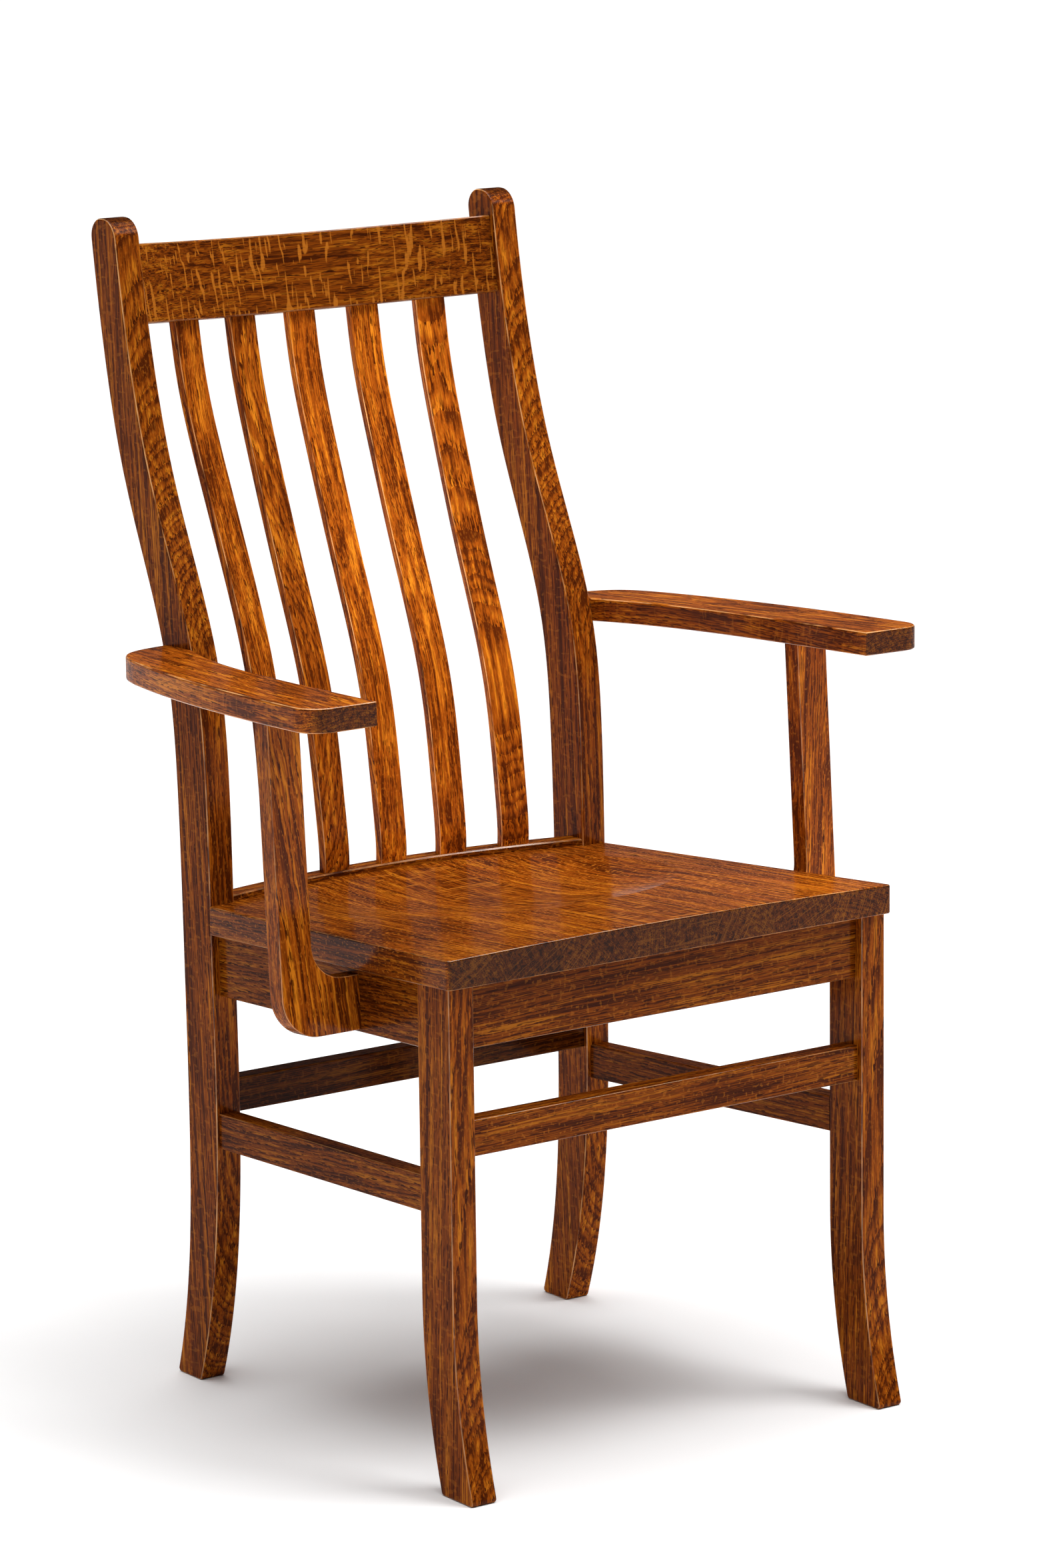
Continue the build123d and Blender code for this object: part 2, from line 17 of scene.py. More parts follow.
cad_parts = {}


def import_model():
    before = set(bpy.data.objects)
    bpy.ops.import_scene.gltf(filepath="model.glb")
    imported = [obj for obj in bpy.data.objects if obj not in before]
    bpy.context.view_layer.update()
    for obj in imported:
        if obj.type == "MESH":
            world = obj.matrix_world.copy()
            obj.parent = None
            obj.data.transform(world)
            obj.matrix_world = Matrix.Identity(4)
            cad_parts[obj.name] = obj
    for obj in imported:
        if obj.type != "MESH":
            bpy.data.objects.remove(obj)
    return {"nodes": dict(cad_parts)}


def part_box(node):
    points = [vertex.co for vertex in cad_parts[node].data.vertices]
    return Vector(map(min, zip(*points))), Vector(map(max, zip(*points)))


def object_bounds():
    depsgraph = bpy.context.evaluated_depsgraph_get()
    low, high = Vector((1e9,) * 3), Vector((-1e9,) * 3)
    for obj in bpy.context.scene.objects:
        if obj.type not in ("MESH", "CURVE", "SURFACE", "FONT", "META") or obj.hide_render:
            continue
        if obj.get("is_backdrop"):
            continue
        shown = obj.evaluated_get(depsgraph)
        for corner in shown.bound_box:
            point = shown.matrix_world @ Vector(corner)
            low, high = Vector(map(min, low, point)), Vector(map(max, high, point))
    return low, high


Colour = tuple[float, float, float, float]
Triple = tuple[float, float, float]

FIRST_BOARD = 0.37     # where the boards' stretches of trunk start, in metres
BOARD_LENGTH = 1.31    # longer than any piece, so no two pieces share their wood
log = logging.getLogger("armchair")


class Side(Enum):
    """The chair's two sides, as seen from the front."""

    LEFT = -1
    RIGHT = 1

    @property
    def word(self) -> str:
        """The side's name as the nodes spell it."""
        return self.name.lower()


class Arris(Enum):
    """The axis that a piece's long arrises turn away from, for the thin finish and painted highlight along
    them.
    """

    ACROSS = (1.0, 0.0, 0.0)
    FORWARD = (0.0, 1.0, 0.0)
    UPRIGHT = (0.0, 0.0, 1.0)


class Cut(Enum):
    """How a board was sawn: degrees it is turned about its grain, and the share of its rays that show."""

    QUARTER = (4.0, 1.0)
    RIFT = (38.0, 0.5)
    PLAIN = (78.0, 0.35)

    @property
    def turn(self) -> float:
        """Degrees that the board's radial way is turned about its grain."""
        return self.value[0]

    @property
    def ray_share(self) -> float:
        """The share of the rays that show."""
        return self.value[1]


# ---------------------------------------------------------------- node helpers
class Tree:
    """Short calls for building a node tree."""

    def __init__(self, tree: bpy.types.NodeTree) -> None:
        """Keeps the tree that the calls add to.

        Args:
            tree: the material's tree or the group's.
        """
        self.tree = tree

    def node(self, kind: str, **settings: object) -> bpy.types.Node:
        """Adds a node.

        Args:
            kind: the node's type name without its ShaderNode prefix.
            settings: properties of the node.

        Returns:
            The new node.
        """
        made = self.tree.nodes.new(f"ShaderNode{kind}")
        for name, value in settings.items():
            setattr(made, name, value)
        return made

    def feed(self, socket: bpy.types.NodeSocket, value: object) -> None:
        """Links a socket to another one, or sets its value.

        Args:
            socket: the input to fill.
            value: an output socket, or the value itself.
        """
        if isinstance(value, bpy.types.NodeSocket):
            self.tree.links.new(value, socket)
        else:
            socket.default_value = value

    def maths(self, operation: str, *values: object, clamp: bool = False) -> bpy.types.NodeSocket:
        """A Math node.

        Args:
            operation: the node's operation.
            values: sockets or numbers.
            clamp: whether the result is kept between 0 and 1.

        Returns:
            Its result.
        """
        made = self.node("Math", operation=operation, use_clamp=clamp)
        for socket, value in zip(made.inputs, values):
            self.feed(socket, value)
        return made.outputs["Value"]

    def vector(self, operation: str, *values: object, result: str = "Vector") -> bpy.types.NodeSocket:
        """A Vector Math node.

        Args:
            operation: the node's operation.
            values: sockets or triples.
            result: the output wanted.

        Returns:
            The output.
        """
        made = self.node("VectorMath", operation=operation)
        for socket, value in zip(made.inputs, values):
            self.feed(socket, value)
        return made.outputs[result]

    def noise(self, place: bpy.types.NodeSocket, scale: float, detail: float = 1.0,
              result: str = "Fac") -> bpy.types.NodeSocket:
        """A 3-D noise.

        Args:
            place: where it is read.
            scale: cells per unit of place.
            detail: octaves above the first.
            result: Fac or Color.

        Returns:
            The output.
        """
        made = self.node("TexNoise", noise_dimensions="3D")
        self.feed(made.inputs["Vector"], place)
        made.inputs["Scale"].default_value = scale
        made.inputs["Detail"].default_value = detail
        return made.outputs[result]

    def ramp(self, value: bpy.types.NodeSocket, low: float, high: float, start: float = 0.0,
             end: float = 1.0) -> bpy.types.NodeSocket:
        """Maps a value smoothly from one range onto another.

        Args:
            value: what is mapped.
            low: where the change starts.
            high: where it ends.
            start: the result at low.
            end: the result at high.

        Returns:
            The mapped value.
        """
        made = self.node("MapRange", interpolation_type="SMOOTHSTEP")
        self.feed(made.inputs["Value"], value)
        for name, number in (("From Min", low), ("From Max", high), ("To Min", start), ("To Max", end)):
            made.inputs[name].default_value = number
        return made.outputs["Result"]

    def mix(self, share: object, first: object, second: object) -> bpy.types.NodeSocket:
        """Mixes two colours.

        Args:
            share: how much of the second.
            first: the colour at 0.
            second: the colour at 1.

        Returns:
            The mixed colour.
        """
        made = self.node("Mix", data_type="RGBA")
        self.feed(made.inputs[0], share)
        self.feed(made.inputs[6], first)
        self.feed(made.inputs[7], second)
        return made.outputs[2]


class Effect:
    """A shader node group, built once and placed in every material that wants it."""

    title: str = ""
    inputs: dict[str, tuple[str, object]] = {}
    outputs: dict[str, str] = {}

    def build(self, tree: Tree, given: bpy.types.Node) -> dict[str, bpy.types.NodeSocket]:
        """Builds what the group does.

        Args:
            tree: the group's tree.
            given: its input node.

        Returns:
            The socket for each output.
        """
        raise NotImplementedError

    def group(self) -> bpy.types.NodeTree:
        """Finds the group, or makes it.

        Returns:
            The node group.
        """
        if self.title in bpy.data.node_groups:
            return bpy.data.node_groups[self.title]
        made = bpy.data.node_groups.new(self.title, "ShaderNodeTree")
        for name, (kind, value) in self.inputs.items():
            socket = made.interface.new_socket(name, in_out="INPUT", socket_type=f"NodeSocket{kind}")
            socket.default_value = value
        for name, kind in self.outputs.items():
            made.interface.new_socket(name, in_out="OUTPUT", socket_type=f"NodeSocket{kind}")
        given, taken = made.nodes.new("NodeGroupInput"), made.nodes.new("NodeGroupOutput")
        for name, socket in self.build(Tree(made), given).items():
            made.links.new(socket, taken.inputs[name])
        return made

    def place(self, tree: Tree, **values: object) -> bpy.types.Node:
        """Places the group in a material.

        Args:
            tree: the material's tree.
            values: an input each, with underscores for spaces.

        Returns:
            The group's node.
        """
        made = tree.node("Group", node_tree=self.group())
        for name, value in values.items():
            tree.feed(made.inputs[name.replace("_", " ")], value)
        return made


class OakGrain(Effect):
    """Solid oak: X away from the pith, Y round it and Z along the trunk, in metres.

    A scale is in cells per metre. A pair of limits holds the two values of a pattern, from 0 to 1, between
    which a feature comes up or fades.
    """

    title = "oak grain"
    inputs = {
        "Board": ("Vector", (0.0, 0.0, 0.0)),
        "Grain": ("Vector", (0.0, 0.0, 1.0)),
        "Deep": ("Color", (0.05, 0.01, 0.003, 1.0)),
        "Body": ("Color", (0.2, 0.05, 0.01, 1.0)),
        "Bright": ("Color", (0.4, 0.12, 0.02, 1.0)),
        "Fleck": ("Color", (0.55, 0.2, 0.04, 1.0)),
        "Ring Spacing": ("Float", 0.0026),
        "Rings": ("Float", 0.6),
        "Pores": ("Float", 1.0),
        "Rays": ("Float", 0.8),
    }
    outputs = {"Color": "Color", "Roughness": "Float", "Height": "Float"}

    # how the trunk's grain wanders: scale, octaves and reach in metres, slowly and then finely
    wandering = (((7.0, 7.0, 2.2), 2.0, 0.010), ((70.0, 70.0, 26.0), 1.0, 0.0016))

    spell_scale = 110.0          # runs of good and poor years, from the pith outwards
    spell_rings = 3.0            # how many rings such a run moves
    early_limits = (0.05, 0.5)   # part of a year's growth in which the early wood fades
    late_limits = (0.45, 0.95)   # and in which the late wood comes up

    pore_scale = (850.0, 850.0, 90.0)
    pore_limits = (0.50, 0.57)   # a lower pair makes more of them
    late_pores = 0.35            # how much of the pores is left in the late wood

    ray_thickness = 750.0        # scales of a ray: through its thickness,
    ray_depth = 17.0             # out from the pith,
    ray_height = 300.0           # and along the trunk
    ray_limits = (0.60, 0.67)    # a lower pair makes more of them
    ray_cover = 0.75             # how much of the pores a ray hides

    fibre_scale = (900.0, 900.0, 22.0)
    streak_scale = (240.0, 240.0, 6.0)
    cloud_scale = 9.0
    mean_tone = 0.55             # tone runs from 0, Deep, to 1, Bright
    fibre_tone = 0.7             # how far each of these moves it
    streak_tone = 2.0
    cloud_tone = 0.8
    ring_tone = 0.6
    deep_limits = (0.05, 0.5)    # tones between which Deep turns to Body
    bright_limits = (0.5, 0.95)  # and Body to Bright
    pore_shade = (0.55, 0.5, 0.5)    # colour inside the pores, as shares of Deep
    end_limits = (0.55, 0.95)    # how square to the grain a face is when it drinks in the stain
    end_shade = 0.32             # and what share of its colour is then left

    satin = 0.36                 # roughness of the plain surface
    pore_roughness = 0.22        # what pores and rays add to it
    ray_roughness = -0.08
    plain_height = 0.7           # height of the plain surface over the pores, as a share of the relief
    late_height = 0.12           # and of the late wood over that

    def build(self, tree: Tree, given: bpy.types.Node) -> dict[str, bpy.types.NodeSocket]:
        """Builds rings, pores, rays, fibres and stain.

        Args:
            tree: the group's tree.
            given: its input node.

        Returns:
            Color, Roughness and Height.
        """
        place = self.wander(tree, given.outputs["Board"])
        part = tree.node("SeparateXYZ")
        tree.feed(part.inputs[0], place)
        distance = tree.vector("LENGTH", tree.vector("MULTIPLY", place, (1.0, 1.0, 0.0)), result="Value")
        angle = tree.maths("ARCTAN2", part.outputs["Y"], part.outputs["X"])
        early, late = self.years(tree, distance, given.outputs["Ring Spacing"])
        pores = self.pores(tree, place, early, given.outputs["Pores"])
        rays = self.rays(tree, tree.maths("MULTIPLY", angle, distance), distance, part.outputs["Z"],
                         given.outputs["Rays"])
        tone = self.tone(tree, place, late, given)
        rough = tree.maths("MULTIPLY_ADD", pores, self.pore_roughness, self.satin)
        rough = tree.maths("MULTIPLY_ADD", rays, self.ray_roughness, rough)
        height = tree.maths("MULTIPLY_ADD", pores, -1.0, self.plain_height)
        height = tree.maths("MULTIPLY_ADD", late, self.late_height, height)
        return {"Color": self.stain(tree, tone, pores, rays, given), "Roughness": rough, "Height": height}

    def wander(self, tree: Tree, board: bpy.types.NodeSocket) -> bpy.types.NodeSocket:
        """Makes the grain run a little crooked.

        Args:
            tree: the group's tree.
            board: the place in a straight trunk.

        Returns:
            The place in the crooked one.
        """
        place = board
        for scale, octaves, reach in self.wandering:
            shift = tree.noise(tree.vector("MULTIPLY", board, scale), 1.0, octaves, "Color")
            shift = tree.vector("SUBTRACT", shift, (0.5, 0.5, 0.5))
            place = tree.vector("ADD", place, tree.vector("MULTIPLY", shift, (reach, reach, 0.0)))
        return place

    def years(self, tree: Tree, distance: bpy.types.NodeSocket,
              spacing: bpy.types.NodeSocket) -> tuple[bpy.types.NodeSocket, bpy.types.NodeSocket]:
        """Year rings, wide in good years and narrow in poor ones.

        Args:
            tree: the group's tree.
            distance: how far from the pith.
            spacing: width of a usual ring.

        Returns:
            Masks of the early and of the late wood.
        """
        spells = tree.node("TexNoise", noise_dimensions="1D")
        tree.feed(spells.inputs["W"], distance)
        spells.inputs["Scale"].default_value = self.spell_scale
        spells.inputs["Detail"].default_value = 1.0
        shift = tree.maths("MULTIPLY", spells.outputs["Fac"], self.spell_rings)
        year = tree.maths("FRACT", tree.maths("ADD", tree.maths("DIVIDE", distance, spacing), shift))
        return tree.ramp(year, *self.early_limits, 1.0, 0.0), tree.ramp(year, *self.late_limits)

    def pores(self, tree: Tree, place: bpy.types.NodeSocket, early: bpy.types.NodeSocket,
              amount: bpy.types.NodeSocket) -> bpy.types.NodeSocket:
        """Long open pores, most of them in the early wood.

        Args:
            tree: the group's tree.
            place: the place in the trunk.
            early: mask of the early wood.
            amount: how much they show.

        Returns:
            Their mask.
        """
        cells = tree.noise(tree.vector("MULTIPLY", place, self.pore_scale), 1.0, 1.0)
        share = tree.maths("MULTIPLY_ADD", early, 1.0 - self.late_pores, self.late_pores)
        pores = tree.maths("MULTIPLY", tree.ramp(cells, *self.pore_limits), share)
        return tree.maths("MULTIPLY", pores, amount, clamp=True)

    def rays(self, tree: Tree, around: bpy.types.NodeSocket, distance: bpy.types.NodeSocket,
             along: bpy.types.NodeSocket, amount: bpy.types.NodeSocket) -> bpy.types.NodeSocket:
        """Rays: thin upright sheets that run out from the pith.

        Args:
            tree: the group's tree.
            around: how far round the pith.
            distance: how far from it.
            along: how far up the trunk.
            amount: how much they show.

        Returns:
            Their mask.
        """
        sheet = tree.node("CombineXYZ")
        tree.feed(sheet.inputs["X"], tree.maths("MULTIPLY", around, self.ray_thickness))
        tree.feed(sheet.inputs["Y"], tree.maths("MULTIPLY", distance, self.ray_depth))
        tree.feed(sheet.inputs["Z"], tree.maths("MULTIPLY", along, self.ray_height))
        rays = tree.ramp(tree.noise(sheet.outputs[0], 1.0, 0.6), *self.ray_limits)
        return tree.maths("MULTIPLY", rays, amount, clamp=True)

    def tone(self, tree: Tree, place: bpy.types.NodeSocket, late: bpy.types.NodeSocket,
             given: bpy.types.Node) -> bpy.types.NodeSocket:
        """How light the wood is, with its fibres, streaks, uneven stain and late wood.

        Args:
            tree: the group's tree.
            place: the place in the trunk.
            late: mask of the late wood.
            given: the group's input node.

        Returns:
            The tone.
        """
        fibres = tree.noise(tree.vector("MULTIPLY", place, self.fibre_scale), 1.0, 1.0)
        streaks = tree.noise(tree.vector("MULTIPLY", place, self.streak_scale), 1.0, 2.0)
        cloud = tree.noise(given.outputs["Board"], self.cloud_scale, 2.0)
        tone = self.mean_tone
        for pattern, reach in ((fibres, self.fibre_tone), (streaks, self.streak_tone),
                               (cloud, self.cloud_tone)):
            tone = tree.maths("MULTIPLY_ADD", tree.maths("SUBTRACT", pattern, 0.5), reach, tone)
        rings = tree.maths("MULTIPLY", late, given.outputs["Rings"])
        return tree.maths("SUBTRACT", tone, tree.maths("MULTIPLY", rings, self.ring_tone))

    def stain(self, tree: Tree, tone: bpy.types.NodeSocket, pores: bpy.types.NodeSocket,
              rays: bpy.types.NodeSocket, given: bpy.types.Node) -> bpy.types.NodeSocket:
        """The stained colour, darkest in the pores and on the end grain.

        Args:
            tree: the group's tree.
            tone: how light the wood is.
            pores: mask of the pores.
            rays: mask of the rays.
            given: the group's input node.

        Returns:
            The colour.
        """
        deep = given.outputs["Deep"]
        colour = tree.mix(tree.ramp(tone, *self.deep_limits), deep, given.outputs["Body"])
        colour = tree.mix(tree.ramp(tone, *self.bright_limits), colour, given.outputs["Bright"])
        colour = tree.mix(rays, colour, given.outputs["Fleck"])
        bare = tree.maths("SUBTRACT", 1.0, tree.maths("MULTIPLY", rays, self.ray_cover))
        filled = tree.vector("MULTIPLY", deep, self.pore_shade)
        colour = tree.mix(tree.maths("MULTIPLY", pores, bare), colour, filled)
        facing = tree.vector("DOT_PRODUCT", tree.node("NewGeometry").outputs["Normal"],
                             given.outputs["Grain"], result="Value")
        drunk = tree.ramp(tree.maths("ABSOLUTE", facing), *self.end_limits, 1.0, self.end_shade)
        return tree.vector("MULTIPLY", colour, drunk)


class ArrisWearAndHighlight(Effect):
    """Where finish has thinned, with a painted highlight there as well: on arrises that turn away from the
    given axis, in patches.
    """

    title = "arris wear"
    inputs = {
        "Axis": ("Vector", (1.0, 0.0, 0.0)),
        "Place": ("Vector", (0.0, 0.0, 0.0)),
        "Amount": ("Float", 0.6),
    }
    outputs = {"Mask": "Float", "Arris": "Float"}

    turn_limits = (0.14, 0.24)   # of squared sine times squared cosine, which is 0.25 at 45 degrees
    patch_scale = 26.0
    patch_limits = (0.35, 0.65)

    def build(self, tree: Tree, given: bpy.types.Node) -> dict[str, bpy.types.NodeSocket]:
        """Builds the masks from how far the surface is turned from the axis.

        Args:
            tree: the group's tree.
            given: its input node.

        Returns:
            Wear And Highlight, which is patchy and marks thin finish with a painted highlight, and Arris,
            which is the whole arris.
        """
        shape = tree.node("NewGeometry")
        lean = tree.vector("DOT_PRODUCT", shape.outputs["Normal"], given.outputs["Axis"], result="Value")
        square = tree.maths("MULTIPLY", lean, lean)
        edge = tree.maths("MULTIPLY", square, tree.maths("SUBTRACT", 1.0, square))
        edge = tree.ramp(edge, *self.turn_limits)
        patch = tree.ramp(tree.noise(given.outputs["Place"], self.patch_scale, 3.0), *self.patch_limits)
        # patchy arrises of thin finish, which also carry the painted highlight
        rubbed_and_highlit = tree.maths("MULTIPLY", edge, patch)
        mask = tree.maths("MULTIPLY", rubbed_and_highlit, given.outputs["Amount"], clamp=True)
        return {"Mask": mask, "Arris": edge}


class PaleDust(Effect):
    """The faint unevenness of a swept studio floor."""

    title = "pale dust"
    inputs = {"Place": ("Vector", (0.0, 0.0, 0.0)), "Clean": ("Color", (0.9, 0.9, 0.9, 1.0))}
    outputs = {"Color": "Color"}

    dust_shade = (0.97, 0.97, 0.97)
    dust_scale = 3.0

    def build(self, tree: Tree, given: bpy.types.Node) -> dict[str, bpy.types.NodeSocket]:
        """Builds a colour that hardly changes.

        Args:
            tree: the group's tree.
            given: its input node.

        Returns:
            Color.
        """
        clean = given.outputs["Clean"]
        dusty = tree.vector("MULTIPLY", clean, self.dust_shade)
        return {"Color": tree.mix(tree.noise(given.outputs["Place"], self.dust_scale, 3.0), dusty, clean)}


# ---------------------------------------------------------------- finishes
@dataclass(frozen=True)
class Stain:
    """The colours that stained oak takes under lacquer, and a painted highlight colour for its arrises.

    Attributes:
        deep: in late wood and pores.
        body: over most of the face.
        bright: in early wood and where the stain is thin.
        fleck: on the rays.
        worn_and_highlight: on arrises where the finish has thinned, lighter and creamier than that alone,
            as a painted highlight.
    """

    deep: Colour = (0.075, 0.0130, 0.0012, 1.0)
    body: Colour = (0.270, 0.0560, 0.0030, 1.0)
    bright: Colour = (0.500, 0.1500, 0.0080, 1.0)
    fleck: Colour = (0.560, 0.1700, 0.0150, 1.0)
    # lighter and creamier than thin finish alone: a painted highlight along the arrises
    worn_and_highlight: Colour = (0.750, 0.3600, 0.1300, 1.0)

    def shade(self, colour: Colour, tone: float) -> Colour:
        """A colour of this stain made lighter or darker.

        Args:
            colour: one of the stain's colours.
            tone: 1 keeps it as it is.

        Returns:
            The changed colour.
        """
        return (colour[0] * tone, colour[1] * tone, colour[2] * tone, 1.0)


@dataclass(frozen=True)
class Board:
    """One piece's place in the tree it was sawn from.

    Attributes:
        grain: the way its fibres run, in the row frame.
        radial: roughly the way that points from the pith, in the row frame.
        cut: how it was sawn, which turns radial about the grain.
        pith: distance from the pith, in metres.
        arris: the axis for its arrises' thin finish and painted highlight.
        tone: how light it is; besides its own take of the stain, this carries painted light and shade,
            raised on pieces that catch the light and lowered on pieces in shade.
        rays: how much of its rays show.
        rings: how strong its rings are.
        spacing: width of a year's ring, in metres.
        wear_and_highlight: how thin the finish on its arrises is, and how strong the painted highlight
            there is.
    """

    grain: Triple
    radial: Triple
    cut: Cut = Cut.QUARTER
    pith: float = 0.11
    arris: Arris = Arris.ACROSS
    tone: float = 1.0
    rays: float = 1.0
    rings: float = 0.6
    spacing: float = 0.0026
    wear_and_highlight: float = 0.5

    def placing(self, centre: Vector, number: int) -> Matrix:
        """The move from the row frame to the tree's own axes.

        Args:
            centre: the piece's middle, in metres.
            number: gives each piece its own stretch of trunk.

        Returns:
            A 4 by 4 matrix.
        """
        along = Vector(self.grain).normalized()
        out = Vector(self.radial)
        out = (out - along * out.dot(along)).normalized()
        out = Matrix.Rotation(radians(self.cut.turn), 3, along) @ out
        turn = Matrix((out, along.cross(out), along))
        away = Vector((self.pith, 0.0, FIRST_BOARD + BOARD_LENGTH * number))
        return Matrix.Translation(away - turn @ centre) @ turn.to_4x4()


@dataclass(frozen=True)
class LacqueredOak:
    """Stained oak under a satin lacquer.

    Attributes:
        stain: its colours.
        coat: how strong the lacquer's reflection is on the faces.
        arris_coat: the same on the arrises, where handling has polished it.
        gloss: how strong the wood's own reflection is.
        coat_roughness: how blurred the lacquer's reflection is.
        relief: depth of the pores, in metres.
        bump: how much of that depth the light feels.
    """

    stain: Stain = Stain()
    coat: float = 0.10
    arris_coat: float = 0.9
    gloss: float = 0.01
    coat_roughness: float = 0.14
    relief: float = 0.00018
    bump: float = 0.5

    def material(self, name: str, board: Board, centre: Vector, number: int) -> bpy.types.Material:
        """Makes the material of one piece.

        Args:
            name: the piece's name.
            board: how it was sawn.
            centre: its middle, in metres.
            number: the piece's own number.

        Returns:
            The material.
        """
        made = bpy.data.materials.new(f"oak_{name}")
        made.use_nodes = True
        made.node_tree.nodes.clear()
        tree = Tree(made.node_tree)
        where = tree.node("TexCoord").outputs["Object"]
        placing = board.placing(centre, number)
        mapping = tree.node("Mapping", vector_type="POINT")
        tree.feed(mapping.inputs["Vector"], where)
        mapping.inputs["Location"].default_value = placing.to_translation()
        mapping.inputs["Rotation"].default_value = placing.to_euler("XYZ")
        shades = {
            part.title(): self.stain.shade(getattr(self.stain, part), board.tone)
            for part in ("deep", "body", "bright", "fleck")
        }
        oak = OakGrain().place(
            tree, Board=mapping.outputs[0], Grain=Vector(board.grain).normalized(),
            Ring_Spacing=board.spacing, Rings=board.rings, Rays=board.rays * board.cut.ray_share, **shades,
        )
        wear_and_highlight = ArrisWearAndHighlight().place(tree, Axis=board.arris.value, Place=where, Amount=board.wear_and_highlight)
        # the arrises' colour: thin finish with a painted highlight, lighter than the wood
        worn_and_highlight = self.stain.shade(self.stain.worn_and_highlight, board.tone)
        surface = tree.node("BsdfPrincipled")
        colour = tree.mix(wear_and_highlight.outputs["Mask"], oak.outputs["Color"], worn_and_highlight)
        tree.feed(surface.inputs["Base Color"], colour)
        tree.feed(surface.inputs["Roughness"], oak.outputs["Roughness"])
        surface.inputs["Specular IOR Level"].default_value = self.gloss
        polish = tree.maths("MULTIPLY_ADD", wear_and_highlight.outputs["Arris"], self.arris_coat - self.coat,
                            self.coat)
        tree.feed(surface.inputs["Coat Weight"], polish)
        surface.inputs["Coat Roughness"].default_value = self.coat_roughness
        bump = tree.node("Bump")
        bump.inputs["Strength"].default_value = self.bump
        bump.inputs["Distance"].default_value = self.relief
        tree.feed(bump.inputs["Height"], oak.outputs["Height"])
        tree.feed(surface.inputs["Normal"], bump.outputs[0])
        out = tree.node("OutputMaterial")
        tree.feed(out.inputs["Surface"], surface.outputs[0])
        return made


@dataclass(frozen=True)
class ZincPlate:
    """Zinc-plated steel, dulled in clouds, for the hidden screws.

    Attributes:
        clean: bright plating.
        dull: where it has clouded.
        cloud_scale: clouds per metre.
        cloud_limits: values of the cloud pattern between which the plating dulls.
        roughness: of the bright plating.
        dull_roughness: what the clouds add to it.
    """

    clean: Colour = (0.62, 0.62, 0.6, 1.0)
    dull: Colour = (0.38, 0.38, 0.36, 1.0)
    cloud_scale: float = 600.0
    cloud_limits: tuple[float, float] = (0.35, 0.65)
    roughness: float = 0.3
    dull_roughness: float = 0.2

    def material(self) -> bpy.types.Material:
        """Makes the material.

        Returns:
            The material.
        """
        made = bpy.data.materials.new("zinc_plate")
        made.use_nodes = True
        made.node_tree.nodes.clear()
        tree = Tree(made.node_tree)
        where = tree.node("TexCoord").outputs["Object"]
        cloud = tree.ramp(tree.noise(where, self.cloud_scale, 3.0), *self.cloud_limits)
        surface = tree.node("BsdfPrincipled")
        tree.feed(surface.inputs["Base Color"], tree.mix(cloud, self.clean, self.dull))
        rough = tree.maths("MULTIPLY_ADD", cloud, self.dull_roughness, self.roughness)
        tree.feed(surface.inputs["Roughness"], rough)
        surface.inputs["Metallic"].default_value = 1.0
        out = tree.node("OutputMaterial")
        tree.feed(out.inputs["Surface"], surface.outputs[0])
        return made


# ---------------------------------------------------------------- sub-assemblies
class Joinery:
    """What every sub-assembly does: take its pieces from the frame and dress each as its own board."""

    boards_sawn = 0

    def dress(self, nodes: dict[str, bpy.types.Object], name: str, board: Board,
              finish: LacqueredOak) -> None:
        """Gives one piece its own oak.

        Args:
            nodes: the frame's pieces by name.
            name: the piece.
            board: how it was sawn.
            finish: its stain and lacquer.
        """
        Joinery.boards_sawn += 1
        low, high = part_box(name)
        material = finish.material(name, board, (low + high) / 2, Joinery.boards_sawn)
        self.paint(nodes[name], material)
        log.info("%s: oak along %s, %s sawn", name, board.grain, board.cut.name.lower())

    def paint(self, piece: bpy.types.Object, material: bpy.types.Material) -> None:
        """Puts one material in all of a piece's slots.

        Args:
            piece: the piece.
            material: its material.
        """
        for slot in piece.material_slots:
            slot.material = material


